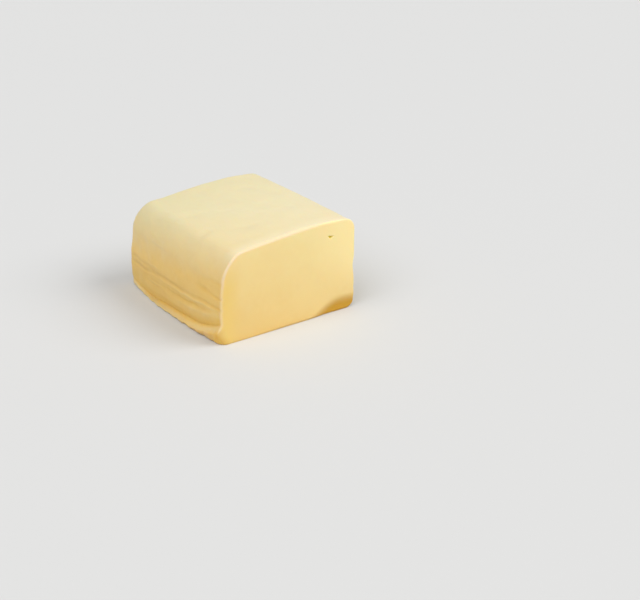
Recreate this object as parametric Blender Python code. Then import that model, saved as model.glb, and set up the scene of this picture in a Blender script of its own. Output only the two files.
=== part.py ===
"""A block of firm, low-moisture mozzarella, cut crosswise from a moulded loaf.

Metres, +Z up. The block rests on its flat underside, with the middle of its box over the origin.
The knife cut faces -Y, the moulded end faces +Y, and the creased side that is seen best faces -X.
Heights are above the underside, and "along" is the distance from the knife cut.
"""

import math

import bmesh
import bpy
from mathutils import Vector

# The loaf
WIDTH = 0.110
LENGTH = 0.134
HEIGHT = 0.0685

# Rounding of the four long edges, as the knife cut shows them
TOP_LEFT_RADIUS = 0.020
TOP_RIGHT_RADIUS = 0.0072
BOTTOM_RIGHT_RADIUS = 0.0115
BOTTOM_LEFT_RADIUS = 0.0030

# Rounding of the moulded end's edges
END_SIDE_RADIUS = 0.0085
END_FOOT_RADIUS = 0.017  # the two upright edges grow rounder towards the underside
END_FOOT_HEIGHT = 0.009
END_TOP_RADIUS = 0.012
END_BOTTOM_RADIUS = 0.005
END_CORNER_WIDTH = 0.030  # how far from a side wall its radius blends into the top and bottom ones
END_LEAN = 0.0063  # the end wall leans in towards the top
END_LEAN_POWER = 1.5

# The crown: highest right of the middle, falling away to both sides
CROWN_X = 0.027
CROWN_LEFT_FALL = 0.0085
CROWN_RIGHT_FALL = 0.0023  # beside the knife cut
CROWN_FAR_FALL = 0.0008  # beside the moulded end
CROWN_POWER = 1.5
CROWN_FOOT = 0.022  # below this height the crown has no effect

# Both side walls
SIDE_BOW = 0.0020  # how far each swells out halfway along
BOW_CENTRE = 0.058
BOW_REACH = 0.075
LEFT_WALL_INSET = 0.0029
LEFT_LEAN = 0.0014
RIGHT_WALL_INSET = 0.0010
RIGHT_FOOT_INSET = 0.0006
WALL_DEPTH = 0.022  # how deep into the block the relief of a wall dies out

# Three creases run along the left wall: a groove over the bottom lip, a fold and a shelf.
# The right wall has the shelf alone. On the scored box they lie level, and they are then laid
# along these heights.
GROOVE_LEVEL = 0.006
FOLD_LEVEL = 0.018
SHELF_LEVEL = 0.024
PLAIN_LEVEL = 0.040  # nothing is moved from here up
LEFT_GROOVE = (
    (0.000, 0.0155), (0.015, 0.0111), (0.028, 0.0080), (0.050, 0.0048), (0.095, 0.0036), (0.134, 0.0075),
)
LEFT_FOLD = ((0.000, 0.0218), (0.020, 0.0203), (0.045, 0.0182), (0.072, 0.0170), (0.134, 0.0140))
LEFT_SHELF = ((0.000, 0.0262), (0.040, 0.0245), (0.068, 0.0238), (0.100, 0.0208), (0.134, 0.0205))
RIGHT_SHELF = ((0.000, 0.0200), (0.050, 0.0225), (0.134, 0.0205))
LEFT_CREASES = ((GROOVE_LEVEL, LEFT_GROOVE), (FOLD_LEVEL, LEFT_FOLD), (SHELF_LEVEL, LEFT_SHELF))
RIGHT_CREASES = ((SHELF_LEVEL, RIGHT_SHELF),)
SHELF_STEP = 0.0009
SHELF_EDGE = 0.0012
SHELF_RETURN = 0.0060
FOLD_DEPTH = 0.0008
FOLD_WIDTH = 0.0030
FOLD_START = 0.060  # the fold fades out between these distances from the knife cut
FOLD_END = 0.098
GROOVE_DEPTH = 0.0009
GROOVE_WIDTH = 0.0035
LIP_FLARE = 0.0036
LIP_FULL = 0.7  # share of the lip's height over which it swells to its full flare
LIP_FADE_START = 0.080  # the flare dies away towards the moulded end
LIP_END_SHARE = 0.55
RIGHT_SHELF_SHARE = 0.6  # the right wall's shelf and the moulded end's creases, against the left wall's
END_SHELF_SHARE = 0.3
END_GROOVE_SHARE = 0.5
CUT_SHARE = 0.45  # the creases are shallower right at the knife cut and at the moulded end
CUT_REACH = 0.012
FAR_SHARE = 0.15
FAR_REACH = 0.026

# The underside is flat inside two straight sides, where the cheese has settled under its own weight
FLAT_BAND = 0.00045  # what is lower than this lies flat
FOOT_LEFT = 0.0530
FOOT_RIGHT = 0.0435

# A shallow hollow in the left wall, above the shelf and beside the knife cut
HOLLOW_ALONG = 0.012
HOLLOW_HEIGHT = 0.030
HOLLOW_RADIUS = 0.017
HOLLOW_SQUASH = 1.8
HOLLOW_DEPTH = 0.0008

# Soft dents in the top: x, distance along, radius, depth
TOP_DENTS = (
    (-0.029, 0.076, 0.009, 0.0006),
    (-0.038, 0.045, 0.008, 0.0007),
    (-0.012, 0.033, 0.011, 0.0006),
    (0.016, 0.055, 0.012, 0.0004),
    (0.028, 0.092, 0.009, 0.0005),
    (-0.004, 0.105, 0.012, 0.0004),
)
DENT_REACH = 0.017  # how far down from the top a dent dies out

# The knife cut dips in a little, low on its right
DIP_X = 0.020
DIP_WIDTH = 0.020
DIP_HEIGHT = 0.0115
DIP_EDGE = 0.0070
DIP_DEPTH = 0.0014
DIP_FOOT = 0.0045  # under this height the cut comes forward again, to nothing at the underside

# The small three-cornered hole in the knife cut, which tapers to a point inside
HOLE_X = 0.0355
HOLE_HEIGHT = 0.0569
HOLE_RADIUS = 0.0029
HOLE_SQUASH = 0.77
HOLE_DEPTH = 0.0042
HOLE_TIP = 0.0002
CUTTER_OUTSIDE = 0.25  # how far the cutter stands out of the cheese, as a share of the hole's depth

# How finely the box is scored where no radius or crease says so
CUT_ZONE = 0.016
CUT_ZONE_STEPS = 4
LENGTH_STEPS = 15
TOP_STEPS = 12

CHEESE_COLOUR = (0.86, 0.74, 0.44, 1.0)
CHEESE_ROUGHNESS = 0.5
SHARP_ANGLE = math.radians(48)
MERGE = 1e-6


def smooth(share):
    """0 below 0 and 1 above 1, with an easy curve between."""
    share = min(max(share, 0.0), 1.0)
    return share * share * (3 - 2 * share)


def ridge(offset, width):
    """1 on a line, falling to 0 at half its width on either side."""
    return smooth(1 - abs(offset) / (width / 2))


def follow(route, along):
    """The height of a crease at a distance along the loaf, on one smooth curve through its points."""
    slopes = [(after[1] - before[1]) / (after[0] - before[0]) for before, after in zip(route, route[1:])]
    tangents = [slopes[0], *((a + b) / 2 for a, b in zip(slopes, slopes[1:])), slopes[-1]]
    along = min(max(along, route[0][0]), route[-1][0])
    i = next(n for n in range(len(slopes)) if along <= route[n + 1][0])
    span = route[i + 1][0] - route[i][0]
    t = (along - route[i][0]) / span
    rise = route[i + 1][1] - route[i][1]
    bend_in = tangents[i] * span - rise
    bend_out = rise - tangents[i + 1] * span
    return route[i][1] + rise * t + t * (1 - t) * (bend_in * (1 - t) + bend_out * t)


def stations(*runs):
    """Places along one axis, from runs of (start, end, steps) laid end to end."""
    places = [start + (end - start) * n / steps for start, end, steps in runs for n in range(steps)]
    return places + [runs[-1][1]]


def score(block, axis, places):
    """Cuts a loop of edges round the block at each place."""
    normal = Vector((0, 0, 0))
    normal[axis] = 1
    for place in places[1:-1]:
        everything = block.verts[:] + block.edges[:] + block.faces[:]
        bmesh.ops.bisect_plane(block, geom=everything, plane_co=normal * place, plane_no=normal, dist=MERGE)


def round_section(x, z):
    """Moves a point of the loaf's square-edged section onto its rounded one."""
    corners = (
        (-1, 1, TOP_LEFT_RADIUS),
        (1, 1, TOP_RIGHT_RADIUS),
        (1, -1, BOTTOM_RIGHT_RADIUS),
        (-1, -1, BOTTOM_LEFT_RADIUS),
    )
    for side, up, radius in corners:
        centre_x = side * (WIDTH / 2 - radius)
        centre_z = up * (HEIGHT / 2 - radius)
        out = side * (x - centre_x)
        over = up * (z - centre_z)
        if out > 0 and over > 0:
            reach = radius / math.hypot(out, over)
            return centre_x + side * out * reach, centre_z + up * over * reach
    return x, z


def end_radius(rim_x, height):
    """The radius between the moulded end and the wall that a rim point belongs to."""
    side = END_SIDE_RADIUS + (END_FOOT_RADIUS - END_SIDE_RADIUS) * smooth(1 - height / END_FOOT_HEIGHT)
    level = END_TOP_RADIUS if height > HEIGHT / 2 else END_BOTTOM_RADIUS
    to_side = smooth((abs(rim_x) - WIDTH / 2 + END_CORNER_WIDTH) / END_CORNER_WIDTH)
    return level + (side - level) * to_side


def rounded(point):
    """Moves a point of the square-edged box onto the loaf's rounded form. The knife cut stays flat."""
    x, y, z = point.x, point.y, point.z - HEIGHT / 2
    ring = max(abs(x) / (WIDTH / 2), abs(z) / (HEIGHT / 2))
    if ring < MERGE:
        return point.copy()
    rim_x, rim_z = round_section(x / ring, z / ring)
    reach = math.hypot(rim_x, rim_z)
    radius = end_radius(rim_x, HEIGHT / 2 + rim_z)
    inset = (1 - ring) * reach
    from_end = LENGTH / 2 - y
    into, beyond = radius - inset, radius - from_end
    if into > 0 and beyond > 0:
        pull = radius / math.hypot(into, beyond)
        inset = radius - into * pull
        from_end = radius - beyond * pull
    share = 1 - inset / reach
    return Vector((rim_x * share, LENGTH / 2 - from_end, HEIGHT / 2 + rim_z * share))


def lift(level, creases, along):
    """How far a level loop of the box is moved up, once it follows the creases of a wall."""
    levels = (0, *(crease_level for crease_level, route in creases), PLAIN_LEVEL)
    heights = (0, *(follow(route, along) for crease_level, route in creases), PLAIN_LEVEL)
    for low, high, low_height, high_height in zip(levels, levels[1:], heights, heights[1:]):
        if level < high:
            return low_height + (high_height - low_height) * (level - low) / (high - low) - level
    return 0.0


def bow(along):
    return SIDE_BOW * (1 - ((along - BOW_CENTRE) / BOW_REACH) ** 2)


def shelf_step(level):
    """How far a wall steps in under the shelf's edge, before it comes out again lower down."""
    below = SHELF_LEVEL + SHELF_EDGE / 2 - level
    return SHELF_STEP * smooth(below / SHELF_EDGE) * (1 - smooth((below - SHELF_EDGE) / SHELF_RETURN))


def groove_cut(level):
    return GROOVE_DEPTH * ridge(level - GROOVE_LEVEL, GROOVE_WIDTH)


def lip(level, along):
    """How much of its flare the lip under the groove has swollen out."""
    fade = 1 - (1 - LIP_END_SHARE) * smooth((along - LIP_FADE_START) / (LENGTH - LIP_FADE_START))
    return fade * smooth((GROOVE_LEVEL - level) / (LIP_FULL * GROOVE_LEVEL))


def crease_share(along):
    """How much of their full depth the creases of a side wall have."""
    at_cut = CUT_SHARE + (1 - CUT_SHARE) * smooth(along / CUT_REACH)
    at_end = FAR_SHARE + (1 - FAR_SHARE) * smooth((LENGTH - along) / FAR_REACH)
    return at_cut * at_end


def left_inset(along, level):
    """How far in from the loaf's full width the left wall lies."""
    lean = LEFT_WALL_INSET + LEFT_LEAN * smooth((level - SHELF_LEVEL) / (PLAIN_LEVEL - SHELF_LEVEL))
    fading = 1 - smooth((along - FOLD_START) / (FOLD_END - FOLD_START))
    fold = FOLD_DEPTH * fading * ridge(level - FOLD_LEVEL, FOLD_WIDTH)
    creases = shelf_step(level) + fold + groove_cut(level)
    away = math.hypot(along - HOLLOW_ALONG, (level - HOLLOW_HEIGHT) * HOLLOW_SQUASH)
    hollow = HOLLOW_DEPTH * smooth(1 - away / HOLLOW_RADIUS)
    return lean - bow(along) + creases * crease_share(along) + hollow - LIP_FLARE * lip(level, along)


def right_inset(along, level):
    """The same on the right wall, which is plainer."""
    lean = RIGHT_FOOT_INSET + RIGHT_WALL_INSET * smooth((level - FOLD_LEVEL) / (SHELF_LEVEL - FOLD_LEVEL))
    return lean - bow(along) + RIGHT_SHELF_SHARE * shelf_step(level) * crease_share(along)


def end_inset(level):
    """How far in the moulded end lies: it leans, and the shelf and the groove carry on round it."""
    lean = END_LEAN * (level / HEIGHT) ** END_LEAN_POWER
    return lean + END_SHELF_SHARE * shelf_step(level) + END_GROOVE_SHARE * groove_cut(level)


def crown_fall(x, along):
    """How far the top lies under its highest line."""
    if x < CROWN_X:
        return CROWN_LEFT_FALL * ((CROWN_X - x) / (CROWN_X + WIDTH / 2)) ** CROWN_POWER
    fall = CROWN_RIGHT_FALL + (CROWN_FAR_FALL - CROWN_RIGHT_FALL) * smooth(along / LENGTH)
    return fall * ((x - CROWN_X) / (WIDTH / 2 - CROWN_X)) ** 2


def top_dents(x, along):
    depths = (
        depth * smooth(1 - math.hypot(x - dent_x, along - dent_along) / radius)
        for dent_x, dent_along, radius, depth in TOP_DENTS
    )
    return sum(depths)


def low_dip(x, level):
    """How far the knife cut dips in, low on its right."""
    across = smooth((x - DIP_X) / DIP_WIDTH)
    under = smooth((DIP_HEIGHT - level) / DIP_EDGE)
    return DIP_DEPTH * across * under * smooth(level / DIP_FOOT)


def relief(point):
    """Leans, swells and creases the rounded loaf."""
    x, along, level = point.x, point.y + LENGTH / 2, point.z
    to_left = smooth(1 - (x + WIDTH / 2) / WALL_DEPTH)
    to_right = smooth(1 - (WIDTH / 2 - x) / WALL_DEPTH)
    to_end = smooth(1 - (LENGTH - along) / WALL_DEPTH)
    to_top = smooth((level - CROWN_FOOT) / (HEIGHT - CROWN_FOOT))
    to_cut = smooth(1 - along / WALL_DEPTH)
    across_end = to_end * (1 - to_left) * (1 - to_right)
    moved = point.copy()
    moved.x += to_left * left_inset(along, level) - to_right * right_inset(along, level)
    moved.y += to_cut * low_dip(x, level) - to_end * end_inset(level)
    moved.z += to_left * lift(level, LEFT_CREASES, along) + to_right * lift(level, RIGHT_CREASES, along)
    moved.z += across_end * lift(level, LEFT_CREASES, LENGTH)
    moved.z -= to_top * crown_fall(x, along)
    moved.z -= smooth(1 - (HEIGHT - level) / DENT_REACH) * top_dents(x, along)
    if moved.z < FLAT_BAND:
        moved.x = min(max(moved.x, -FOOT_LEFT), FOOT_RIGHT)
        moved.z = 0.0
    return moved


def make_block():
    """The block, as a scored box whose every corner point is moved onto the loaf's form."""
    block = bmesh.new()
    bmesh.ops.create_cube(block, size=1)
    for vertex in block.verts:
        vertex.co = Vector((vertex.co.x * WIDTH, vertex.co.y * LENGTH, (vertex.co.z + 0.5) * HEIGHT))
    half_width, half_length = WIDTH / 2, LENGTH / 2
    score(block, 0, stations(
        (-half_width, -half_width + BOTTOM_LEFT_RADIUS, 1),
        (-half_width + BOTTOM_LEFT_RADIUS, -half_width + TOP_LEFT_RADIUS, 5),
        (-half_width + TOP_LEFT_RADIUS, half_width - BOTTOM_RIGHT_RADIUS, TOP_STEPS),
        (half_width - BOTTOM_RIGHT_RADIUS, half_width - TOP_RIGHT_RADIUS, 1),
        (half_width - TOP_RIGHT_RADIUS, half_width, 3),
    ))
    score(block, 1, stations(
        (-half_length, -half_length + CUT_ZONE, CUT_ZONE_STEPS),
        (-half_length + CUT_ZONE, half_length - END_SIDE_RADIUS, LENGTH_STEPS),
        (half_length - END_SIDE_RADIUS, half_length, 6),
    ))
    score(block, 2, stations(
        (0, BOTTOM_LEFT_RADIUS, 2),
        (BOTTOM_LEFT_RADIUS, GROOVE_LEVEL - GROOVE_WIDTH / 2, 1),
        (GROOVE_LEVEL - GROOVE_WIDTH / 2, GROOVE_LEVEL + GROOVE_WIDTH / 2, 4),
        (GROOVE_LEVEL + GROOVE_WIDTH / 2, FOLD_LEVEL - FOLD_WIDTH / 2, 3),
        (FOLD_LEVEL - FOLD_WIDTH / 2, FOLD_LEVEL + FOLD_WIDTH / 2, 4),
        (FOLD_LEVEL + FOLD_WIDTH / 2, SHELF_LEVEL - SHELF_EDGE / 2, 2),
        (SHELF_LEVEL - SHELF_EDGE / 2, SHELF_LEVEL + SHELF_EDGE / 2, 2),
        (SHELF_LEVEL + SHELF_EDGE / 2, PLAIN_LEVEL, 4),
        (PLAIN_LEVEL, HEIGHT - TOP_LEFT_RADIUS, 2),
        (HEIGHT - TOP_LEFT_RADIUS, HEIGHT - TOP_RIGHT_RADIUS, 3),
        (HEIGHT - TOP_RIGHT_RADIUS, HEIGHT, 4),
    ))
    for vertex in block.verts:
        vertex.co = relief(rounded(vertex.co))
    centre_over_origin(block)
    bmesh.ops.recalc_face_normals(block, faces=block.faces[:])
    mesh = bpy.data.meshes.new("mozzarella_block")
    block.to_mesh(mesh)
    block.free()
    return bpy.data.objects.new("mozzarella_block", mesh)


def centre_over_origin(block):
    """Moves the block until the middle of its box is over the origin, as its walls swell unevenly."""
    for axis in (0, 1):
        places = [vertex.co[axis] for vertex in block.verts]
        middle = (min(places) + max(places)) / 2
        for vertex in block.verts:
            vertex.co[axis] -= middle


def make_hole_cutter(front):
    """A three-sided cone with one corner down, which points into the cheese."""
    outside = CUTTER_OUTSIDE * HOLE_DEPTH
    length = outside + HOLE_DEPTH
    wide_end = HOLE_RADIUS * (1 + CUTTER_OUTSIDE)
    cutter = bmesh.new()
    bmesh.ops.create_cone(cutter, cap_ends=True, segments=3, radius1=wide_end, radius2=HOLE_TIP, depth=length)
    mesh = bpy.data.meshes.new("hole_cutter")
    cutter.to_mesh(mesh)
    cutter.free()
    hole = bpy.data.objects.new("hole_cutter", mesh)
    hole.rotation_euler = (-math.pi / 2, 0, 0)
    hole.scale = (1, HOLE_SQUASH, 1)
    hole.location = (HOLE_X, front - outside + length / 2, HOLE_HEIGHT)
    hole.hide_render = True
    hole.display_type = "WIRE"
    return hole


def cheese():
    material = bpy.data.materials.new("mozzarella")
    material.use_nodes = True
    shader = material.node_tree.nodes["Principled BSDF"]
    shader.inputs["Base Color"].default_value = CHEESE_COLOUR
    shader.inputs["Roughness"].default_value = CHEESE_ROUGHNESS
    shader.inputs["Metallic"].default_value = 0.0
    return material


def new_collection(name):
    collection = bpy.data.collections.new(name)
    bpy.context.scene.collection.children.link(collection)
    return collection


def main():
    for leftover in list(bpy.data.objects):
        bpy.data.objects.remove(leftover)
    block = make_block()
    block.data.materials.append(cheese())
    block.data.shade_smooth()
    block.data.set_sharp_from_angle(angle=SHARP_ANGLE)
    hole = make_hole_cutter(min(vertex.co.y for vertex in block.data.vertices))
    new_collection("mozzarella").objects.link(block)
    new_collection("cutters").objects.link(hole)
    drill = block.modifiers.new("hole", "BOOLEAN")
    drill.operation = "DIFFERENCE"
    drill.object = hole


main()
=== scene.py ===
# Block of firm mozzarella, cut crosswise from a moulded loaf
# Metres, +Z up. The knife cut faces -Y, the moulded end +Y, and the creased wall that shows best faces -X.
# "along" is the distance from the knife cut, "level" the height over the underside.
import math

import bpy
import numpy as np
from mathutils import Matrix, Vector


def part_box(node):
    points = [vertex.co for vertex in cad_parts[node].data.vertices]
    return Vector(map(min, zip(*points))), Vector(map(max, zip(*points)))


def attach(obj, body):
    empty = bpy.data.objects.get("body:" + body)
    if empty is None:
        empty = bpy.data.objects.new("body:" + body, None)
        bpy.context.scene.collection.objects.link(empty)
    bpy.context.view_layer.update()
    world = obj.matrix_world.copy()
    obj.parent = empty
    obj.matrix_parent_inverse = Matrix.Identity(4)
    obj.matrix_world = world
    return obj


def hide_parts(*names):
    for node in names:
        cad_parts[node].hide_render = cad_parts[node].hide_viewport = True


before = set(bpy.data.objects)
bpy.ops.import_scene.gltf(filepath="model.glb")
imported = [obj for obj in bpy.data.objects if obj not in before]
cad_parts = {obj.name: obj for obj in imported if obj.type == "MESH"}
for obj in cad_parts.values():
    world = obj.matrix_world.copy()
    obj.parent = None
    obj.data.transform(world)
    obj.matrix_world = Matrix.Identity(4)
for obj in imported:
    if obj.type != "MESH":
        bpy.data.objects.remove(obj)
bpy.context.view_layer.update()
print("frame loaded")


def deselectAll():
    if bpy.context.mode != "OBJECT":
        bpy.ops.object.mode_set(mode="OBJECT")
    bpy.ops.object.select_all(action="DESELECT")


def makeActive(piece):
    deselectAll()
    piece.select_set(True)
    bpy.context.view_layer.objects.active = piece


def ease(share):
    share = np.clip(share, 0.0, 1.0)
    return share * share * (3 - 2 * share)


def ramp(value, start, end):
    return ease((value - start) / (end - start))      # 0 up to the start, 1 from the end on


def towards(value, goal, share):
    return value + (goal - value) * share


def hump(offset, width):
    return ease(1 - np.abs(offset) / (width / 2))      # 1 on the line, 0 at half the width on both sides


def valley(offset, above, below):
    # 1 on the line, 0 at one distance above it and at another below it
    return np.where(offset > 0, ease(1 - offset / above), ease(1 + offset / below))


def follow(route, along):
    # height of a crease at a distance along the loaf, on one smooth curve through the route's points
    places = np.array([point[0] for point in route])
    heights = np.array([point[1] for point in route])
    slopes = np.diff(heights) / np.diff(places)
    tangents = np.concatenate([slopes[:1], (slopes[1:] + slopes[:-1]) / 2, slopes[-1:]])
    along = np.clip(along, places[0], places[-1])
    i = np.clip(np.searchsorted(places, along) - 1, 0, len(slopes) - 1)
    span = places[i + 1] - places[i]
    t = (along - places[i]) / span
    rise = heights[i + 1] - heights[i]
    bendIn = tangents[i] * span - rise
    bendOut = rise - tangents[i + 1] * span
    return heights[i] + rise * t + t * (1 - t) * (bendIn * (1 - t) + bendOut * t)


def readPoints(piece):
    flat = np.empty(len(piece.data.vertices) * 3)
    piece.data.vertices.foreach_get("co", flat)
    return flat.reshape(-1, 3)


def writePoints(piece, points):
    piece.data.vertices.foreach_set("co", points.ravel())
    piece.data.update()


def writeMask(piece, name, values):
    mask = piece.data.attributes.new(name, "FLOAT", "POINT")
    mask.data.foreach_set("value", np.clip(values, 0, 1).astype(np.float32))


cameraSet = {
    "place": (-0.3894, -0.6487, 0.3371),
    "pitch": 24.4,      # degrees down
    "turn": 35.56,      # degrees clockwise from +Y
    "lens": 64.4, "sensor": 36,
}


def addCamera():
    bpy.ops.object.camera_add(
        location=cameraSet["place"],
        rotation=(math.radians(90 - cameraSet["pitch"]), 0, -math.radians(cameraSet["turn"])),
    )
    camera = bpy.context.object
    camera.data.lens = cameraSet["lens"]
    camera.data.sensor_width = cameraSet["sensor"]
    bpy.context.scene.camera = camera


# the loaf starts as a box with loops, which is moved onto the moulded form
loaf = {
    "width": 0.110, "length": 0.134, "height": 0.0685,
    # radii of the long edges, then of the moulded end's edges: up its left side, down its right, at its foot
    "topLeft": 0.020, "topRight": 0.0072, "bottomRight": 0.0052, "bottomLeft": 0.0030,
    "endSide": 0.0078, "endSideUp": 0.0086, "endShoulder": 0.0064, "endRight": 0.0150, "endFoot": 0.012,
    "endUpFrom": (0.024, 0.044), "endShoulderFrom": (0.042, 0.066), "endFootHeight": 0.009,      # by level
    "endTop": 0.012, "endBottom": 0.005, "endCorner": 0.030,      # and along its top and its underside
    "endLean": 0.0063, "endLeanPower": 1.5,      # how far the end's top lies in
    # the top is highest along crownX, and falls to both sides
    "crownX": 0.027, "crownLeftFall": 0.0085, "crownRightFall": 0.0023, "crownFarFall": 0.0008,
    "crownPower": 1.5, "crownFoot": 0.022,
    "bow": 0.0020, "bowCentre": 0.058, "bowReach": 0.075, "leftFarReach": 0.090,      # the side walls swell
    "leftInset": 0.0029, "leftLean": 0.0018, "leanFoot": 0.024, "leanTop": 0.054, "rightInset": 0.0006,
    "wallDepth": 0.022,      # how far in from a wall its moves are still felt
    "flatBand": 0.0004,      # what is lower than this lies flat
    "toMiddle": (0.000491, 0.000049),      # from the straight box's middle to the middle of the finished form
    "smoothAngle": 50,
}
edge = {
    "radius": 0.0009,      # the knife cut's edge, barely rounded
    "topRadius": 0.0024, "topFrom": (0.036, 0.056), "topFade": 0.016,      # softer over the shoulder and top
    "sideRadius": 0.0011, "sideWidth": 0.018,
    "lipRadius": 0.0034, "lipFrom": 0.0046, "lipFade": 0.0028,      # and rounder where the lip rolls past it
    "footRadius": 0.0072, "footFrom": 0.0044, "footWidth": 0.0060,
    "rightFoot": 0.0022, "rightFootHeight": 0.006,      # the cut's foot is rounder towards the right
    "wrap": 0.0008, "wrapReach": 0.0050,      # the skin turns round onto the cut at the lip
}
# loops cut across each axis: start, end, steps. Each step is then divided in three
loops = {
    "x": ((-0.0550, -0.0538, 1), (-0.0538, -0.0500, 1), (-0.0500, -0.0350, 3), (-0.0350, 0.0478, 18),
          (0.0478, 0.0538, 3), (0.0538, 0.0550, 1)),
    "y": ((-0.0670, -0.0658, 1), (-0.0658, -0.0618, 2), (-0.0618, -0.0510, 4), (-0.0510, 0.0585, 27),
          (0.0585, 0.0670, 6)),
    "z": ((0.0000, 0.0012, 1), (0.0012, 0.0042, 3), (0.0042, 0.0080, 4), (0.0080, 0.0160, 6),
          (0.0160, 0.0270, 9), (0.0270, 0.0360, 4), (0.0360, 0.0485, 4), (0.0485, 0.0613, 5),
          (0.0613, 0.0673, 3), (0.0673, 0.0685, 1)),
    "divide": 2,
}


def cutLoops(direction, runs):
    places = [start + (end - start) * n / steps for start, end, steps in runs for n in range(steps)]
    for place in places[1:]:
        bpy.ops.mesh.select_all(action="SELECT")
        plane = [place * share for share in direction]
        bpy.ops.mesh.bisect(plane_co=plane, plane_no=direction, threshold=1e-6)


def addLoafBox():
    deselectAll()
    size = (loaf["width"], loaf["length"], loaf["height"])
    bpy.ops.mesh.primitive_cube_add(size=1, location=(0, 0, loaf["height"] / 2), scale=size)
    block = bpy.context.object
    block.name = "mozzarellaBlock"
    bpy.ops.object.transform_apply(location=True, rotation=True, scale=True)
    bpy.ops.object.mode_set(mode="EDIT")
    cutLoops((1, 0, 0), loops["x"])
    cutLoops((0, 1, 0), loops["y"])
    cutLoops((0, 0, 1), loops["z"])
    bpy.ops.mesh.select_all(action="SELECT")
    bpy.ops.mesh.subdivide(number_cuts=loops["divide"])
    bpy.ops.object.mode_set(mode="OBJECT")
    return block


def roundSection(x, z):
    # moves the square section's outline onto the rounded one
    corners = ((-1, 1, loaf["topLeft"]), (1, 1, loaf["topRight"]),
               (1, -1, loaf["bottomRight"]), (-1, -1, loaf["bottomLeft"]))
    roundX, roundZ = x.copy(), z.copy()
    for side, up, radius in corners:
        centreX = side * (loaf["width"] / 2 - radius)
        centreZ = up * (loaf["height"] / 2 - radius)
        out = side * (x - centreX)
        over = up * (z - centreZ)
        inCorner = (out > 0) & (over > 0)
        reach = radius / np.maximum(np.hypot(out, over), 1e-9)
        roundX = np.where(inCorner, centreX + side * out * reach, roundX)
        roundZ = np.where(inCorner, centreZ + up * over * reach, roundZ)
    return roundX, roundZ


def farRadius(rimX, height):
    side = towards(loaf["endSide"], loaf["endSideUp"], ramp(height, *loaf["endUpFrom"]))
    side = towards(side, loaf["endShoulder"], ramp(height, *loaf["endShoulderFrom"]))
    side = np.where(rimX > 0, loaf["endRight"], side)
    side = towards(side, loaf["endFoot"], ease(1 - height / loaf["endFootHeight"]))
    flat = np.where(height > loaf["height"] / 2, loaf["endTop"], loaf["endBottom"])
    toSide = ease((np.abs(rimX) - loaf["width"] / 2 + loaf["endCorner"]) / loaf["endCorner"])
    return towards(flat, side, toSide)


def cutRadius(rimX, height):
    fromLeft, fromRight = rimX + loaf["width"] / 2, loaf["width"] / 2 - rimX
    onSide = ease(1 - fromLeft / edge["sideWidth"])
    onCorner = ease(1 - fromLeft / edge["footWidth"])
    onRightFoot = ease(fromLeft / loaf["width"]) * ease(1 - height / edge["rightFootHeight"])
    onTop = ramp(height, *edge["topFrom"]) * ease(fromRight / edge["topFade"])
    onLip = onCorner * ease((edge["lipFrom"] - height) / edge["lipFade"])
    radius = towards(edge["radius"], edge["sideRadius"], onSide)
    radius = towards(radius, edge["rightFoot"], onRightFoot)
    radius = towards(radius, edge["topRadius"], onTop)
    radius = towards(radius, edge["lipRadius"], onLip)
    return towards(radius, edge["footRadius"], onCorner * ease(1 - height / edge["footFrom"]))


def lipShare(x, height):
    # 1 beside the cut's left edge, under the groove
    onSide = ease(1 - (x + loaf["width"] / 2) / edge["sideWidth"])
    return onSide * ease((edge["lipFrom"] - height) / edge["lipFade"])


def roundEnd(inset, fromEnd, radius):
    into, beyond = radius - inset, radius - fromEnd
    turns = (into > 0) & (beyond > 0)
    pull = radius / np.maximum(np.hypot(into, beyond), 1e-9)
    return np.where(turns, radius - into * pull, inset), np.where(turns, radius - beyond * pull, fromEnd)


def roundLoaf(points):
    # the box's walls, seen from its long middle line, are pushed onto the rounded section and ends
    x, y, z = points[:, 0], points[:, 1], points[:, 2] - loaf["height"] / 2
    ring = np.maximum(np.abs(x) / (loaf["width"] / 2), np.abs(z) / (loaf["height"] / 2))
    ring = np.maximum(ring, 1e-6)
    rimX, rimZ = roundSection(x / ring, z / ring)
    reach = np.hypot(rimX, rimZ)
    height = loaf["height"] / 2 + rimZ
    inset = (1 - ring) * reach
    fromFar = loaf["length"] / 2 - y
    fromCut = loaf["length"] / 2 + y
    pastEdge = inset - fromCut      # distance from the knife cut's edge, under 0 on the skin
    inset, fromFar = roundEnd(inset, fromFar, farRadius(rimX, height))
    inset, fromCut = roundEnd(inset, fromCut, cutRadius(rimX, height))
    y = np.where(y > 0, loaf["length"] / 2 - fromFar, fromCut - loaf["length"] / 2)
    share = 1 - inset / reach
    return np.stack([rimX * share, y, loaf["height"] / 2 + rimZ * share], 1), pastEdge


# where creases run, as (along, level), and which level loops of the box are laid along them
routes = {
    "leftGroove": ((0.000, 0.0153), (0.004, 0.0137), (0.008, 0.0118), (0.015, 0.0094), (0.025, 0.0064),
                   (0.040, 0.0045), (0.055, 0.0037), (0.070, 0.0029), (0.088, 0.0015), (0.100, 0.0015),
                   (0.110, 0.0027), (0.120, 0.0042), (0.134, 0.0062)),
    "leftFold": ((0.000, 0.0218), (0.020, 0.0203), (0.045, 0.0182), (0.072, 0.0170), (0.134, 0.0140)),
    "leftShelf": ((0.000, 0.0262), (0.040, 0.0245), (0.068, 0.0238), (0.100, 0.0208), (0.134, 0.0205)),
    "rightShelf": ((0.000, 0.0200), (0.050, 0.0225), (0.134, 0.0205)),
}
laidLoops = {
    "left": ((0.006, "leftGroove"), (0.018, "leftFold"), (0.024, "leftShelf")),
    "right": ((0.024, "rightShelf"),),
    "plainLevel": 0.040,
}
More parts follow.
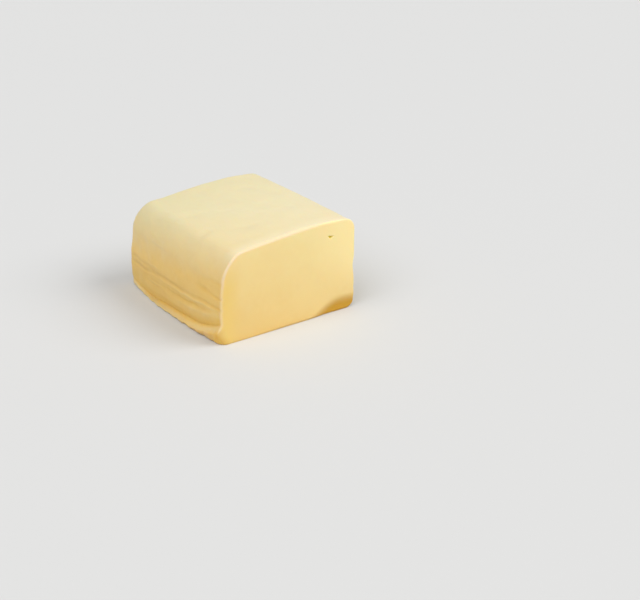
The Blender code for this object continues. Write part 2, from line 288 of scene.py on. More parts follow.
lip = {
    "flare": 0.0043, "full": 0.45,      # share of the lip's height over which it swells out
    "turnUnder": 0.20,      # it rolls back in by this share at its foot
    "cutShare": 0.70, "cutReach": 0.034,      # it is flatter at the knife cut and towards the moulded end
    "fadeStart": 0.070, "endShare": 0.06,
    "waver": 300, "waverRate": 1.7, "waverNumber": 9,      # and it swells unevenly
    "tuck": 0.0007, "tuckReach": 0.0060,      # the wall over it turns in
    "tuckStart": 0.020, "tuckEnd": (0.090, 0.120),
    # how strong the painted bounce light and shade at its foot is along the loaf, and how far under the
    # groove that starts
    "footShare": ((0, 0.92), (0.020, 0.92), (0.035, 0.80), (0.050, 0.50), (0.065, 0.22), (0.080, 0.05),
                  (0.134, 0.05)),
    "footStart": ((0, 0.02), (0.008, 0.04), (0.018, 0.12), (0.134, 0.20)), "footRamp": 0.44,
}
# folds of the left wall: what kind, the route as (along, level), and how deep it is along the way.
# A step goes in below its line and comes back out over "back", a ridge stands out, a groove lies in
leftFolds = (
    {"kind": "step", "edge": 0.0022, "back": 0.0034,
     "route": ((0.000, 0.0262), (0.013, 0.0259), (0.026, 0.0254), (0.040, 0.0244), (0.055, 0.0234),
               (0.070, 0.0238), (0.082, 0.0234), (0.092, 0.0238), (0.104, 0.0250), (0.134, 0.0262)),
     "depth": ((0.000, 0.00040), (0.010, 0.00030), (0.028, 0.00022), (0.046, 0.00014), (0.057, 0.00028),
               (0.078, 0.00030), (0.092, 0.00020), (0.108, 0.00024), (0.122, 0.00022), (0.134, 0.00000))},
    {"kind": "groove", "above": 0.0034, "below": 0.0020,
     "route": ((0.080, 0.0216), (0.090, 0.0206), (0.100, 0.0196), (0.112, 0.0190), (0.122, 0.0196),
               (0.134, 0.0206)),
     "depth": ((0.080, 0.00000), (0.090, 0.00018), (0.106, 0.00034), (0.120, 0.00036), (0.131, 0.00010),
               (0.134, 0.00000))},
    {"kind": "ridge", "width": 0.0020,
     "route": ((0.078, 0.0266), (0.088, 0.0267), (0.101, 0.0264)),
     "depth": ((0.078, 0.00000), (0.085, 0.00014), (0.096, 0.00014), (0.101, 0.00000))},
    {"kind": "ridge", "width": 0.0038,
     "route": ((0.000, 0.0234), (0.014, 0.0230), (0.026, 0.0220), (0.040, 0.0206), (0.052, 0.0202),
               (0.072, 0.0198), (0.098, 0.0192)),
     "depth": ((0.000, 0.00022), (0.014, 0.00028), (0.026, 0.00034), (0.045, 0.00024), (0.060, 0.00014),
               (0.080, 0.00006), (0.098, 0.00000))},
    {"kind": "step", "edge": 0.0018, "back": 0.0042,
     "route": ((0.000, 0.0206), (0.012, 0.0200), (0.026, 0.0192), (0.040, 0.0179), (0.052, 0.0170),
               (0.066, 0.0168), (0.084, 0.0162), (0.104, 0.0152)),
     "depth": ((0.000, 0.00004), (0.010, 0.00010), (0.024, 0.00022), (0.036, 0.00046), (0.052, 0.00048),
               (0.066, 0.00028), (0.084, 0.00014), (0.104, 0.00000))},
    {"kind": "ridge", "width": 0.0064,
     "route": ((0.000, 0.0204), (0.005, 0.0200), (0.015, 0.0176), (0.031, 0.0148), (0.048, 0.0137),
               (0.062, 0.0132)),
     "depth": ((0.000, 0.00014), (0.005, 0.00022), (0.031, 0.00024), (0.048, 0.00014), (0.062, 0.00000))},
    {"kind": "ridge", "width": 0.0028,
     "route": ((0.076, 0.0138), (0.090, 0.0136), (0.104, 0.0134)),
     "depth": ((0.076, 0.00000), (0.084, 0.00016), (0.094, 0.00018), (0.104, 0.00000))},
    {"kind": "groove", "above": 0.0026, "below": 0.0012,
     "route": ((0.000, 0.0334), (0.006, 0.0334), (0.016, 0.0342)),
     "depth": ((0.000, 0.00050), (0.008, 0.00034), (0.016, 0.00000))},
    {"kind": "groove", "above": 0.0040, "below": 0.0030,
     "route": ((0.000, 0.0480), (0.010, 0.0466), (0.026, 0.0444)),
     "depth": ((0.000, 0.00022), (0.012, 0.00018), (0.026, 0.00000))},
    {"kind": "groove", "above": 0.0042, "below": 0.0048,
     "route": ((0.010, 0.0350), (0.022, 0.0348), (0.036, 0.0354)),
     "depth": ((0.010, 0.00000), (0.020, 0.00042), (0.028, 0.00020), (0.036, 0.00000))},
    {"kind": "ridge", "width": 0.0050,
     "route": ((0.070, 0.0470), (0.084, 0.0492), (0.098, 0.0496)),
     "depth": ((0.070, 0.00000), (0.084, 0.00014), (0.098, 0.00000))},
)
lipGroove = {
    "above": 0.0013, "below": 0.0007, "waverShare": 0.5,
    "depth": ((0.000, 0.00010), (0.012, 0.00038), (0.030, 0.00042), (0.060, 0.00050), (0.095, 0.00050),
              (0.122, 0.00020), (0.134, 0.00000)),
    "grooveShade": ((0.000, 0.70), (0.008, 0.62), (0.030, 0.45), (0.050, 0.10), (0.070, 0.00), (0.134, 0.00)),
    "grooveShadeReach": 0.0065,      # the wall over it has painted shade, a darker amber, up to here
}
# how creases waver: length, height, turn from one crease's number to the next
wobbles = ((0.019, 0.00030, 2.1), (0.0083, 0.00014, 1.3))
tones = {
    "crease": 0.0009, "ridge": 0.0005,      # how deep or high it is where its painted shade or painted highlight is full
    "lip": 0.22,      # share of the way down the lip over which the ridges' painted highlight comes in
    "edge": 0.0012,      # how far from the knife cut's edge a crease has its full painted shade
}
# faint hollow in the left wall beside the knife cut
hollow = {"along": 0.010, "level": 0.0295, "radius": 0.019, "squash": 1.7, "depth": 0.0001}
# the right wall has one soft fold and a faint step under it
rightFold = {"level": 0.0345, "above": 0.0060, "below": 0.0100, "depth": 0.0010, "waverNumber": 5}
rightStep = {"depth": 0.00030, "edge": 0.0020, "back": 0.0060}
# the dip in the knife cut's low right corner, its tone a painted shadow. Its left side slants by x over level
lowDip = {
    "x": 0.0160, "slant": 1.55, "width": 0.016, "height": 0.0145, "edge": 0.0105, "depth": 0.0010,
    "spread": 0.60,      # its painted shadow comes in sooner than its depth
}
# soft dents in the top: x, along, radius, depth
topDents = (
    (-0.029, 0.076, 0.009, 0.0006), (-0.038, 0.045, 0.008, 0.0007), (-0.012, 0.033, 0.011, 0.0006),
    (0.016, 0.055, 0.012, 0.0004), (0.028, 0.092, 0.009, 0.0005), (-0.004, 0.105, 0.012, 0.0004),
)
dentReach = 0.017


def liftLoops(level, wall, along):
    # how far each level loop of the box is moved up, so that loops run along the creases
    levels = [0, *(mark for mark, name in laidLoops[wall]), laidLoops["plainLevel"]]
    heights = [0, *(follow(routes[name], along) for mark, name in laidLoops[wall]), laidLoops["plainLevel"]]
    lifted = level.copy()
    for low, high, lowHeight, highHeight in zip(levels, levels[1:], heights, heights[1:]):
        within = (level >= low) & (level < high)
        laid = lowHeight + (highHeight - lowHeight) * (level - low) / (high - low)
        lifted = np.where(within, laid, lifted)
    return lifted - level


def wallBow(along, farReach=loaf["bowReach"]):
    # how far a side wall stands out, most at the bow's centre
    reach = np.where(along > loaf["bowCentre"], farReach, loaf["bowReach"])
    return loaf["bow"] * (1 - ((along - loaf["bowCentre"]) / reach) ** 2)


def stepIn(below, edgeWidth, back):
    # 0 over the line, 1 just under it, and 0 again further down
    return ease(below / edgeWidth + 0.5) * (1 - ease((below - edgeWidth / 2) / back))


def waver(along, number):
    return sum(size * np.sin(math.tau * along / length + turn * number) for length, size, turn in wobbles)


def foldInset(fold, number, along, height):
    offset = height - follow(fold["route"], along) - waver(along, number)
    depth = np.clip(follow(fold["depth"], along), 0, None)
    depth = np.where((along < fold["route"][0][0] - 1e-6) | (along > fold["route"][-1][0]), 0, depth)
    if fold["kind"] == "step":
        return depth * stepIn(-offset, fold["edge"], fold["back"])
    if fold["kind"] == "ridge":
        return -depth * hump(offset, fold["width"])
    return depth * valley(offset, fold["above"], fold["below"])


def lipLine(along):
    return follow(routes["leftGroove"], along) + lipGroove["waverShare"] * waver(along, 0)


def lipGrooveInset(along, height):
    shape = valley(height - lipLine(along), lipGroove["above"], lipGroove["below"])
    return follow(lipGroove["depth"], along) * shape


def lipSwell(along, height):
    fade = towards(1, lip["endShare"], ramp(along, lip["fadeStart"], loaf["length"]))
    fade *= towards(1, lip["cutShare"], ease(1 - along / lip["cutReach"]))
    fade *= 1 + lip["waver"] * waver(along * lip["waverRate"], lip["waverNumber"])
    under = 1 - height / lipLine(along)
    turned = np.clip((under - lip["full"]) / (1 - lip["full"]), 0, 1) ** 2
    return fade * (ease(under / lip["full"]) - lip["turnUnder"] * turned)


def leftWall(along, height):
    # how far the wall lies in, and how fully it has the painted shade of a crease, the painted highlight of a
    # ridge or the lip, and the painted bounce light and shade of the lip's foot
    leaning = ramp(height, loaf["leanFoot"], loaf["leanTop"])
    inset = loaf["leftInset"] + loaf["leftLean"] * leaning - wallBow(along, loaf["leftFarReach"])
    away = np.hypot(along - hollow["along"], (height - hollow["level"]) * hollow["squash"])
    inset += hollow["depth"] * ease(1 - away / hollow["radius"])
    groove = follow(routes["leftGroove"], along)
    over = height - groove
    tucked = ease(along / lip["tuckStart"]) * (1 - ramp(along, *lip["tuckEnd"]))
    inset += lip["tuck"] * ease(1 - over / lip["tuckReach"]) * tucked
    folds = sum(foldInset(fold, number, along, height) for number, fold in enumerate(leftFolds))
    grooved = lipGrooveInset(along, height)
    grooveShade = follow(lipGroove["grooveShade"], along) * ease(1 - over / lipGroove["grooveShadeReach"]) * (over > 0)
    creased = np.clip(folds, 0, None) / tones["crease"] + np.maximum(grooved / tones["crease"], grooveShade)
    under = -over / groove
    raisedHighlight = np.clip(-folds, 0, None) / tones["ridge"] + ease(under / tones["lip"])
    footBounceShade = follow(lip["footShare"], along) * ease((under - follow(lip["footStart"], along)) / lip["footRamp"])
    return inset + folds + grooved - lip["flare"] * lipSwell(along, height), creased, raisedHighlight, footBounceShade


def rightWall(along, level):
    offset = level - rightFold["level"] - waver(along, rightFold["waverNumber"])
    fold = rightFold["depth"] * valley(offset, rightFold["above"], rightFold["below"])
    below = follow(routes["rightShelf"], along) - level
    step = rightStep["depth"] * stepIn(below, rightStep["edge"], rightStep["back"])
    return loaf["rightInset"] - wallBow(along) + fold + step


def farWall(level):
    return loaf["endLean"] * (np.clip(level, 0, None) / loaf["height"]) ** loaf["endLeanPower"]


def crownFall(x, along):
    half = loaf["width"] / 2
    leftShare = np.clip((loaf["crownX"] - x) / (loaf["crownX"] + half), 0, None)
    left = loaf["crownLeftFall"] * leftShare ** loaf["crownPower"]
    rightFall = towards(loaf["crownRightFall"], loaf["crownFarFall"], ease(along / loaf["length"]))
    right = rightFall * ((x - loaf["crownX"]) / (half - loaf["crownX"])) ** 2
    return np.where(x < loaf["crownX"], left, right)


def dentTop(x, along):
    dented = np.zeros_like(x)
    for dentX, dentAlong, radius, depth in topDents:
        dented += depth * ease(1 - np.hypot(x - dentX, along - dentAlong) / radius)
    return dented


def dipIn(x, level):
    fromSide = x - lowDip["slant"] * level - lowDip["x"]
    return ease(fromSide / lowDip["width"]) * ease((lowDip["height"] - level) / lowDip["edge"])


def shapeLoaf(block):
    # moves the rounded box onto the moulded form, and gives each tone's share at each point
    points, pastEdge = roundLoaf(readPoints(block))
    x, along, level = points[:, 0].copy(), points[:, 1] + loaf["length"] / 2, points[:, 2].copy()
    toLeft = ease(1 - (x + loaf["width"] / 2) / loaf["wallDepth"])
    toRight = ease(1 - (loaf["width"] / 2 - x) / loaf["wallDepth"])
    toFar = ease(1 - (loaf["length"] - along) / loaf["wallDepth"])
    toTop = ease((level - loaf["crownFoot"]) / (loaf["height"] - loaf["crownFoot"]))
    toCut = ease(1 - along / loaf["wallDepth"])
    dipAndShadow = dipIn(x, level)
    onLip = lipShare(x, level)
    pastEdge -= edge["wrap"] * onLip
    leftLift = liftLoops(level, "left", along)
    inset, creased, raisedHighlight, footBounceShade = leftWall(along, level + leftLift)
    otherFootBounceShade = skinFinish["footShare"] * ease(1 - level / skinFinish["footHeight"])
    points[:, 0] += toLeft * inset - toRight * rightWall(along, level)
    points[:, 1] += toCut * lowDip["depth"] * dipAndShadow - toFar * farWall(level)
    points[:, 2] += toLeft * leftLift + toRight * liftLoops(level, "right", along)
    endLift = liftLoops(level, "left", np.full_like(along, loaf["length"]))
    points[:, 2] += toFar * (1 - toLeft) * (1 - toRight) * endLift
    points[:, 2] -= toTop * crownFall(x, along)
    points[:, 2] -= ease(1 - (loaf["height"] - level) / dentReach) * dentTop(x, along)
    points[:, 2] = np.where(points[:, 2] < loaf["flatBand"], 0, points[:, 2])
    points[:, :2] += loaf["toMiddle"]
    writePoints(block, points)
    footBounceShade = toLeft * footBounceShade + (1 - toLeft) * otherFootBounceShade
    wrap = onLip * (1 - ease(pastEdge / edge["wrapReach"]))
    return {"pastEdge": pastEdge, "dipAndShadow": (toCut * dipAndShadow) ** lowDip["spread"],
            "crease": toLeft * creased * ease(-pastEdge / tones["edge"]),
            "raisedHighlight": toLeft * raisedHighlight, "footBounceShade": footBounceShade, "wrap": wrap,
            "otherSide": (1 - toLeft) * np.maximum(toRight, toFar)}


hole = {
    "x": 0.0355, "level": 0.0571, "depth": 0.0014,
    "corners": ((-0.0028, 0.0014), (0.0027, 0.0002),
                (-0.0003, -0.0021)),      # from its middle, one corner down
    "wall": 0.0009,      # how far inside its outline it is deepest
    "patch": 0.0045, "facing": 0.9, "divide": 4,      # the faces round it that are divided first
    "cutDepth": 0.001,      # points this near the front of the knife cut are on it
}


def cutHole(block):
    makeActive(block)
    bpy.ops.object.mode_set(mode="EDIT")
    bpy.ops.mesh.select_mode(type="FACE")
    bpy.ops.mesh.select_all(action="DESELECT")
    bpy.ops.object.mode_set(mode="OBJECT")
    front = readPoints(block)[:, 1].min()
    centre = Vector((hole["x"], front, hole["level"]))
    for face in block.data.polygons:
        face.select = (face.center - centre).length < hole["patch"] and face.normal.y < -hole["facing"]
    bpy.ops.object.mode_set(mode="EDIT")
    bpy.ops.mesh.subdivide(number_cuts=hole["divide"], quadcorner="INNERVERT")
    bpy.ops.object.mode_set(mode="OBJECT")
    points = readPoints(block)
    x, z = points[:, 0] - hole["x"], points[:, 2] - hole["level"]
    corners = hole["corners"]
    inside = np.full(len(points), 1.0)
    for (startX, startZ), (endX, endZ) in zip(corners, corners[1:] + corners[:1]):
        alongX, alongZ = endX - startX, endZ - startZ
        fromSide = (alongZ * (x - startX) - alongX * (z - startZ)) / math.hypot(alongX, alongZ)
        inside = np.minimum(inside, fromSide)
    share = np.clip(inside / hole["wall"], 0, 1) * (points[:, 1] < front + hole["cutDepth"])
    points[:, 1] += hole["depth"] * share
    writePoints(block, points)
    return share


# the skin is not quite even, with slanting streaks of pressed curd, and the knife cut more nearly so
unevenness = (
    {"name": "skinSwell", "mask": "skin", "size": 0.0160, "depth": 0.00050,
     "stretch": (1, 1, 1), "turn": 0},
    {"name": "skinMottle", "mask": "skin", "size": 0.0100, "depth": 0.00055,
     "stretch": (1, 1.8, 1), "turn": -28},
    {"name": "skinStreak", "mask": "skin", "size": 0.0050, "depth": 0.00022,
     "stretch": (1.3, 3, 1), "turn": -28},
    {"name": "cutDrag", "mask": "cut", "size": 0.0080, "depth": 0.00010,
     "stretch": (3, 1, 1), "turn": 0},
)
# it fades out at the floor and the knife cut's edge, and is less on the top
calm = {"floor": 0.004, "edge": 0.004, "top": (0.056, 0.066), "topShare": 0.5}


def weighPoints(block, pastEdge):
    level = readPoints(block)[:, 2]
    offFloor = ease(level / calm["floor"])
    offTop = 1 - calm["topShare"] * ramp(level, *calm["top"])
    shares = {
        "skin": ease(-pastEdge / calm["edge"]) * offFloor * offTop,
        "cut": ease(pastEdge / calm["edge"]) * offFloor,
    }
    for name, share in shares.items():
        group = block.vertex_groups.new(name=name)
        for i, weight in enumerate(share):
            if weight > 0:
                group.add([i], float(weight), "REPLACE")


def addUnevenness(block, pastEdge):
    weighPoints(block, pastEdge)
    for layer in unevenness:
        clouds = bpy.data.textures.new(layer["name"], "CLOUDS")
        clouds.noise_scale = layer["size"]
        clouds.noise_depth = 0
        deselectAll()
        bpy.ops.object.empty_add(rotation=(math.radians(layer["turn"]), 0, 0), scale=layer["stretch"])
        grid = bpy.context.object      # the texture is stretched and turned with it
        makeActive(block)
        bpy.ops.object.modifier_add(type="DISPLACE")
        displace = block.modifiers[-1]
        displace.texture = clouds
        displace.texture_coords = "OBJECT"
        displace.texture_coords_object = grid
        displace.vertex_group = layer["mask"]
        displace.mid_level = 1      # inwards only, so the block keeps within its box
        displace.strength = layer["depth"]
        bpy.ops.object.modifier_apply(modifier=displace.name)
        makeActive(grid)
        bpy.ops.object.delete()
    block.vertex_groups.clear()


def keepInBox(block):
    # what stands past the solid's box comes back to it
    points = readPoints(block)
    low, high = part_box("mozzarella_block")
    writePoints(block, np.clip(points, low, high))


def addGroup(name, inputs, outputs):
    group = bpy.data.node_groups.new(name, "ShaderNodeTree")
    for label, kind, value in inputs:
        socket = group.interface.new_socket(name=label, in_out="INPUT", socket_type=kind)
        if value is not None:
            socket.default_value = value
    for label, kind in outputs:
        group.interface.new_socket(name=label, in_out="OUTPUT", socket_type=kind)
    return group, group.nodes.new("NodeGroupInput"), group.nodes.new("NodeGroupOutput")


def addNoise(tree, vector, scale, detail, rough=0.5):
    node = tree.nodes.new("ShaderNodeTexNoise")
    node.inputs["Detail"].default_value = detail
    node.inputs["Roughness"].default_value = rough
    tree.links.new(vector, node.inputs["Vector"])
    tree.links.new(scale, node.inputs["Scale"])
    return node.outputs["Fac"]


def addMath(tree, operation, first, second):
    node = tree.nodes.new("ShaderNodeMath")
    node.operation = operation
    for socket, value in zip(node.inputs, (first, second)):
        if isinstance(value, (int, float)):
            socket.default_value = value
        else:
            tree.links.new(value, socket)
    return node.outputs[0]


def addRange(tree, value, fromLow, fromHigh, toLow=0.0, toHigh=1.0, kind="SMOOTHSTEP"):
    node = tree.nodes.new("ShaderNodeMapRange")
    node.interpolation_type = kind
    tree.links.new(value, node.inputs["Value"])
    limits = {"From Min": fromLow, "From Max": fromHigh, "To Min": toLow, "To Max": toHigh}
    for label, number in limits.items():
        node.inputs[label].default_value = number
    return node.outputs["Result"]


def addMix(tree, share, first, second):
    node = tree.nodes.new("ShaderNodeMix")
    node.data_type = "RGBA"
    tree.links.new(share, node.inputs["Factor"])
    for socket, colour in ((node.inputs[6], first), (node.inputs[7], second)):
        if isinstance(colour, tuple):
            socket.default_value = (*colour, 1)
        else:
            tree.links.new(colour, socket)
    return node.outputs[2]


def addMask(tree, name):
    node = tree.nodes.new("ShaderNodeAttribute")
    node.attribute_name = name
    return node.outputs["Fac"]


def addPlace(tree, stretch=(1, 1, 1), turn=(0, 0, 0)):
    place = tree.nodes.new("ShaderNodeTexCoord")
    mapping = tree.nodes.new("ShaderNodeMapping")
    mapping.inputs["Scale"].default_value = stretch
    mapping.inputs["Rotation"].default_value = turn
    tree.links.new(place.outputs["Object"], mapping.inputs["Vector"])
    return mapping.outputs["Vector"]


# soft clouds and the fine surface of the curd, for the skin and the knife cut alike
curd = {
    "cloudScale": 60.0, "wideDetail": 4.0, "wideRough": 0.55,
    "fineTimes": 6.0, "fineDetail": 2.0, "fineShare": 0.25, "cloudSpan": (0.34, 0.66),
    "pebbleScale": 700.0, "pebbleDetail": 3.0,
    "fibreScale": 300.0, "fibreDetail": 2.0, "fibreShare": 0.5,
}


def makeCurdMottle():
    # soft paler and deeper clouds, as milk fat lies in the curd
    group, start, end = addGroup(
        "curdMottle",
        (("Vector", "NodeSocketVector", None), ("Scale", "NodeSocketFloat", curd["cloudScale"])),
        (("Mask", "NodeSocketFloat"),),
    )
    vector, scale = start.outputs["Vector"], start.outputs["Scale"]
    wide = addNoise(group, vector, scale, curd["wideDetail"], curd["wideRough"])
    fine = addNoise(group, vector, addMath(group, "MULTIPLY", scale, curd["fineTimes"]), curd["fineDetail"])
    wideShare = addMath(group, "MULTIPLY", wide, 1 - curd["fineShare"])
    fineShare = addMath(group, "MULTIPLY", fine, curd["fineShare"])
    clouds = addRange(group, addMath(group, "ADD", wideShare, fineShare), *curd["cloudSpan"])
    group.links.new(clouds, end.inputs["Mask"])
    return group


def makeCurdGrain():
    # height of the fine surface: pebbles, and short fibres the way that the mapping stretches them
    group, start, end = addGroup(
        "curdGrain",
        (("Vector", "NodeSocketVector", None), ("Fibre", "NodeSocketVector", None),
         ("Pebble Size", "NodeSocketFloat", curd["pebbleScale"]),
         ("Fibre Size", "NodeSocketFloat", curd["fibreScale"]),
         ("Fibre Share", "NodeSocketFloat", curd["fibreShare"])),
        (("Height", "NodeSocketFloat"),),
    )
    pebble = addNoise(group, start.outputs["Vector"], start.outputs["Pebble Size"], curd["pebbleDetail"])
    fibre = addNoise(group, start.outputs["Fibre"], start.outputs["Fibre Size"], curd["fibreDetail"])
    weighed = addMath(group, "MULTIPLY", fibre, start.outputs["Fibre Share"])
    group.links.new(addMath(group, "ADD", pebble, weighed), end.inputs["Height"])
    return group


# each span says where a tone starts and where it is full
skinFinish = {
    "topLow": (0.691, 0.610, 0.352), "topHigh": (0.783, 0.691, 0.440),      # painted light: the top is paler towards the near right, where more light falls
    "topSlope": (3.4, -5.2, 0), "topSpan": (-0.45, 0.45),
    "wall": (0.780, 0.524, 0.155), "deep": (0.775, 0.510, 0.145),
    "wallTilt": (0, 0.11, 1), "wallSpan": (0.033, 0.065),      # the amber wall turns into the paler top: partly the skin's own tone, drier and paler on top, partly painted warm bounce light on the walls
    "farSpan": (-0.030, 0.025),      # and tones darken towards the moulded end: painted shade, as less light reaches it
    "lowFar": (0.750, 0.492, 0.130), "lowSpan": (0.028, 0.0168),
    # painted shade: creases and the band over the lip's groove are darker amber where shade falls in them
    "crease": (0.740, 0.440, 0.055), "creaseFar": (0.650, 0.405, 0.095),
    # painted highlight: ridges and the lip's top are paler where they face the light
    "raisedHighlight": (0.766, 0.574, 0.245), "raisedHighlightFar": (0.675, 0.510, 0.235),
    # painted bounce light and shade: the lip's foot is warm amber and darker near the floor
    "footBounceShade": (0.795, 0.468, 0.068), "footBounceShadeAway": (0.735, 0.462, 0.150), "footSpan": (-0.063, -0.053),
    "footHeight": 0.007, "footShare": 0.15,      # the other sides' amber foot, painted bounce light and shade
    # the rim tone is a painted highlight along the knife cut's edge
    "otherWall": (0.750, 0.598, 0.285), "brow": (0.830, 0.735, 0.485), "rim": (0.800, 0.625, 0.390),
    "mottleScale": 55.0, "fibreStretch": (1, 0.12, 1), "fibreShare": 0.5,
    "rough": (0.40, 0.50), "bump": 0.10, "bumpHeight": 0.0003,
    "subsurface": 0.30, "scatter": (1.0, 0.60, 0.25), "scatterScale": 0.004,
}
cutFinish = {
    "low": (0.803, 0.543, 0.178), "high": (0.900, 0.745, 0.355),      # painted light: paler up and to the right, where more light falls, warmer low down with painted bounce light
    "slope": (3.2, 0, 9.5), "slopeSpan": (-0.175, 0.825), "clouding": 0.06,
    # painted light: warmer low on the left with painted bounce light, paler on the right where more light
    # falls
    "left": (0.832, 0.585, 0.170), "leftSpan": (-0.036, -0.047), "leftLevels": (0.058, 0.040),
    "right": (0.975, 0.780, 0.365), "rightSpan": (0.020, 0.056), "rightLevels": (0.016, 0.046),
    # painted bounce light and shade: a warm amber line along the cut's foot
    "footBounceLine": (0.800, 0.470, 0.110), "footLineShare": 0.55, "footLinePower": 1.6, "footLineHeight": 0.0055,
    # the dip's deep amber is painted shadow, the pit's is painted shade inside the hole, the rim's a painted
    # highlight along the edge
    "dipAndShadow": (0.585, 0.305, 0.010), "pit": (0.780, 0.660, 0.050), "rim": (0.800, 0.625, 0.390),
    "mottleScale": 40.0, "dragStretch": (0.10, 1, 1), "dragTurn": -12, "fibreShare": 1.0,
    "rough": (0.46, 0.54), "bump": 0.06, "bumpHeight": 0.0002,
    "subsurface": 0.30, "scatter": (1.0, 0.60, 0.25), "scatterScale": 0.004,
}


def addSlope(tree, place, direction, low, high):
    # 0 to 1 along a direction
    node = tree.nodes.new("ShaderNodeVectorMath")
    node.operation = "DOT_PRODUCT"
    tree.links.new(place, node.inputs[0])
    node.inputs[1].default_value = direction
    return addRange(tree, node.outputs["Value"], low, high, kind="LINEAR")


def startFinish(name, finish):
    material = bpy.data.materials.new(name)
    material.use_nodes = True
    tree = material.node_tree
    shader = tree.nodes["Principled BSDF"]
    shader.inputs["Subsurface Weight"].default_value = finish["subsurface"]
    shader.inputs["Subsurface Radius"].default_value = finish["scatter"]
    shader.inputs["Subsurface Scale"].default_value = finish["scatterScale"]
    return material, tree, shader


def placeGroup(tree, group, links, **values):
    node = tree.nodes.new("ShaderNodeGroup")
    node.node_tree = group
    for label, source in links:
        tree.links.new(source, node.inputs[label])
    for label, value in values.items():
        node.inputs[label.replace("_", " ")].default_value = value
    return node.outputs[0]


def finishSurface(tree, shader, finish, colour, mottle, height):
    tree.links.new(colour, shader.inputs["Base Color"])
    low, high = finish["rough"]
    tree.links.new(addRange(tree, mottle, 0, 1, low, high, "LINEAR"), shader.inputs["Roughness"])
    bump = tree.nodes.new("ShaderNodeBump")
    bump.inputs["Strength"].default_value = finish["bump"]
    bump.inputs["Distance"].default_value = finish["bumpHeight"]
    tree.links.new(height, bump.inputs["Height"])
    tree.links.new(bump.outputs["Normal"], shader.inputs["Normal"])


def makeSkin(mottleGroup, grainGroup):
    material, tree, shader = startFinish("mozzarellaSkin", skinFinish)
    place = addPlace(tree)
    mottle = placeGroup(tree, mottleGroup, [("Vector", place)], Scale=skinFinish["mottleScale"])
    wall = addMix(tree, mottle, skinFinish["wall"], skinFinish["deep"])
    towardsFar = addSlope(tree, place, (0, 1, 0), *skinFinish["farSpan"])
    paintedHighlight = addMix(tree, towardsFar, skinFinish["raisedHighlight"], skinFinish["raisedHighlightFar"])
    low = addSlope(tree, place, (0, 0, 1), *skinFinish["lowSpan"])
    wall = addMix(tree, addMath(tree, "MULTIPLY", low, towardsFar), wall, skinFinish["lowFar"])
    wall = addMix(tree, addMask(tree, "raisedHighlight"), wall, paintedHighlight)
    wall = addMix(tree, addMask(tree, "otherSide"), wall, skinFinish["otherWall"])
    towardsNearRight = addSlope(tree, place, skinFinish["topSlope"], *skinFinish["topSpan"])
    top = addMix(tree, towardsNearRight, skinFinish["topLow"], skinFinish["topHigh"])
    upwards = addSlope(tree, place, skinFinish["wallTilt"], *skinFinish["wallSpan"])
    colour = addMix(tree, upwards, wall, top)
    colour = addMix(tree, addMask(tree, "brow"), colour, skinFinish["brow"])
    away = addSlope(tree, place, (0, 1, 0), *skinFinish["footSpan"])
    footBounceShade = addMix(tree, away, skinFinish["footBounceShade"], skinFinish["footBounceShadeAway"])
    colour = addMix(tree, addMask(tree, "footBounceShade"), colour, footBounceShade)
    crease = addMix(tree, towardsFar, skinFinish["crease"], skinFinish["creaseFar"])
    colour = addMix(tree, addMask(tree, "crease"), colour, crease)
    # painted highlight along the knife cut's edge
    colour = addMix(tree, addMask(tree, "rim"), colour, skinFinish["rim"])
    fibre = addPlace(tree, stretch=skinFinish["fibreStretch"])
    height = placeGroup(tree, grainGroup, [("Vector", place), ("Fibre", fibre)],
                        Fibre_Share=skinFinish["fibreShare"])
    finishSurface(tree, shader, skinFinish, colour, mottle, height)
    return material


def makeCut(mottleGroup, grainGroup):
    material, tree, shader = startFinish("knifeCut", cutFinish)
    place = addPlace(tree)
    mottle = placeGroup(tree, mottleGroup, [("Vector", place)], Scale=cutFinish["mottleScale"])
    upRight = addSlope(tree, place, cutFinish["slope"], *cutFinish["slopeSpan"])
    clouds = addRange(tree, mottle, 0, 1, -cutFinish["clouding"], cutFinish["clouding"], "LINEAR")
    colour = addMix(tree, addMath(tree, "ADD", upRight, clouds), cutFinish["low"], cutFinish["high"])
    for side in ("left", "right"):
        across = addSlope(tree, place, (1, 0, 0), *cutFinish[side + "Span"])
        upwards = addSlope(tree, place, (0, 0, 1), *cutFinish[side + "Levels"])
        colour = addMix(tree, addMath(tree, "MULTIPLY", across, upwards), colour, cutFinish[side])
    lowest = addSlope(tree, place, (0, 0, 1), cutFinish["footLineHeight"], 0)
    lowest = addMath(tree, "POWER", lowest, cutFinish["footLinePower"])
    footBounceLine = addMath(tree, "MULTIPLY", lowest, cutFinish["footLineShare"])
    colour = addMix(tree, footBounceLine, colour, cutFinish["footBounceLine"])
    colour = addMix(tree, addMask(tree, "dipAndShadow"), colour, cutFinish["dipAndShadow"])
    # the skin's tone, with the lip's painted highlight and painted bounce light and shade, carried round onto
    # the cut
    lipTone = addMix(tree, addMask(tree, "footBounceShade"), skinFinish["raisedHighlight"], skinFinish["footBounceShade"])
    colour = addMix(tree, addMask(tree, "wrap"), colour, lipTone)
    # painted shade: the hole's pit is a deeper golden amber
    colour = addMix(tree, addMask(tree, "pit"), colour, cutFinish["pit"])
    # painted highlight along the knife cut's edge
    colour = addMix(tree, addMask(tree, "rim"), colour, cutFinish["rim"])
    drag = addPlace(tree, stretch=cutFinish["dragStretch"], turn=(0, math.radians(cutFinish["dragTurn"]), 0))
    height = placeGroup(tree, grainGroup, [("Vector", place), ("Fibre", drag)],
                        Fibre_Share=cutFinish["fibreShare"])
    finishSurface(tree, shader, cutFinish, colour, mottle, height)
    return material


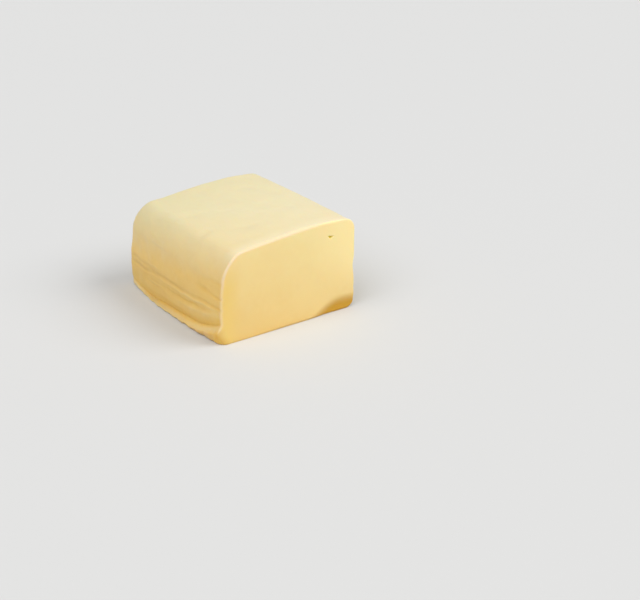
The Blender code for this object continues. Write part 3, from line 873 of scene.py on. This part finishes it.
# plain pale floor, even air and two wide soft lights: the high one to the left, the other front right
studio = {
    "floorSize": 12.0, "floorColour": (0.62, 0.62, 0.615), "floorRough": 0.8,
    "airColour": (1.0, 1.0, 1.0), "airStrength": 0.45, "lightColour": (1.0, 1.0, 1.0),
    "lights": (
        {"name": "high", "from": (-0.55, -0.22, 0.80), "strength": 1.65, "spread": 50},
        {"name": "front", "from": (0.55, -0.50, 0.67), "strength": 1.75, "spread": 40},
    ),
}


def addStudio():
    deselectAll()
    bpy.ops.mesh.primitive_plane_add(size=studio["floorSize"], location=(0, 0, 0))
    floor = bpy.context.object
    floor.name = "floor"
    paint = bpy.data.materials.new("floorPaint")
    paint.use_nodes = True
    shader = paint.node_tree.nodes["Principled BSDF"]
    shader.inputs["Base Color"].default_value = (*studio["floorColour"], 1)
    shader.inputs["Roughness"].default_value = studio["floorRough"]
    floor.data.materials.append(paint)
    world = bpy.data.worlds.new("studioAir")
    world.use_nodes = True
    air = world.node_tree.nodes["Background"]
    air.inputs["Color"].default_value = (*studio["airColour"], 1)
    air.inputs["Strength"].default_value = studio["airStrength"]
    bpy.context.scene.world = world
    for lamp in studio["lights"]:
        aim = Vector(lamp["from"]).to_track_quat("Z", "Y").to_euler()
        bpy.ops.object.light_add(type="SUN", location=Vector(lamp["from"]), rotation=aim)
        light = bpy.context.object
        light.name = lamp["name"] + "Light"
        light.data.energy = lamp["strength"]
        light.data.angle = math.radians(lamp["spread"])
        light.data.color = studio["lightColour"]


# painted highlight: the pale rim along the knife cut's edge, where it turns to the light; wide over the
# shoulder and the top, faint down the left side
rim = {
    "narrow": 0.0007, "wide": 0.0012, "fade": 0.0016, "onSkin": 0.0022,
    "topFrom": (0.036, 0.052), "sideShare": 0.52, "end": (0.0075, 0.0125),      # by level
    "rightFade": 0.6, "rightFrom": (0.005, 0.040), "rightEnd": (0.046, 0.054),      # by x
    "browShare": 0.7, "browFrom": (0.054, 0.062), "browReach": 0.013,      # the paler skin behind it
}


def dressMasks(block, shape):
    points = readPoints(block)
    x, height, pastEdge = points[:, 0], points[:, 2], shape["pastEdge"]
    onTop = ramp(height, *rim["topFrom"])
    share = towards(rim["sideShare"], 1, onTop) * ramp(height, *rim["end"])
    share *= 1 - ramp(x, *rim["rightEnd"])
    share *= 1 - rim["rightFade"] * ramp(x, *rim["rightFrom"])
    onCut = 1 - ease((pastEdge - towards(rim["narrow"], rim["wide"], onTop)) / rim["fade"])
    across = np.where(pastEdge > 0, onCut, ease(1 + pastEdge / rim["onSkin"]))
    writeMask(block, "rim", share * across)
    brow = ramp(height, *rim["browFrom"]) * ease(1 + pastEdge / rim["browReach"])
    writeMask(block, "brow", rim["browShare"] * brow)
    for name in ("dipAndShadow", "crease", "raisedHighlight", "footBounceShade", "wrap", "otherSide"):
        writeMask(block, name, shape[name])


def paintFaces(block, skin, cut, pastEdge):
    block.data.materials.clear()
    block.data.materials.append(skin)
    block.data.materials.append(cut)
    for face in block.data.polygons:
        face.material_index = int(pastEdge[list(face.vertices)].mean() > 0)      # 1 past the edge, on the cut


def makeBlock():
    block = addLoafBox()
    print("loaf box:", len(block.data.polygons), "faces")
    shape = shapeLoaf(block)
    dressMasks(block, shape)
    mottleGroup, grainGroup = makeCurdMottle(), makeCurdGrain()
    paintFaces(block, makeSkin(mottleGroup, grainGroup), makeCut(mottleGroup, grainGroup), shape["pastEdge"])
    addUnevenness(block, shape["pastEdge"])
    print("loaf shaped")
    pit = cutHole(block)
    writeMask(block, "pit", pit)
    keepInBox(block)
    makeActive(block)
    bpy.ops.object.shade_smooth_by_angle(angle=math.radians(loaf["smoothAngle"]))
    print("block finished:", len(block.data.polygons), "faces")
    return block


block = makeBlock()
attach(block, "root")
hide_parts("mozzarella_block")
addStudio()
addCamera()
bpy.context.scene.view_settings.view_transform = "Standard"
print("studio ready")
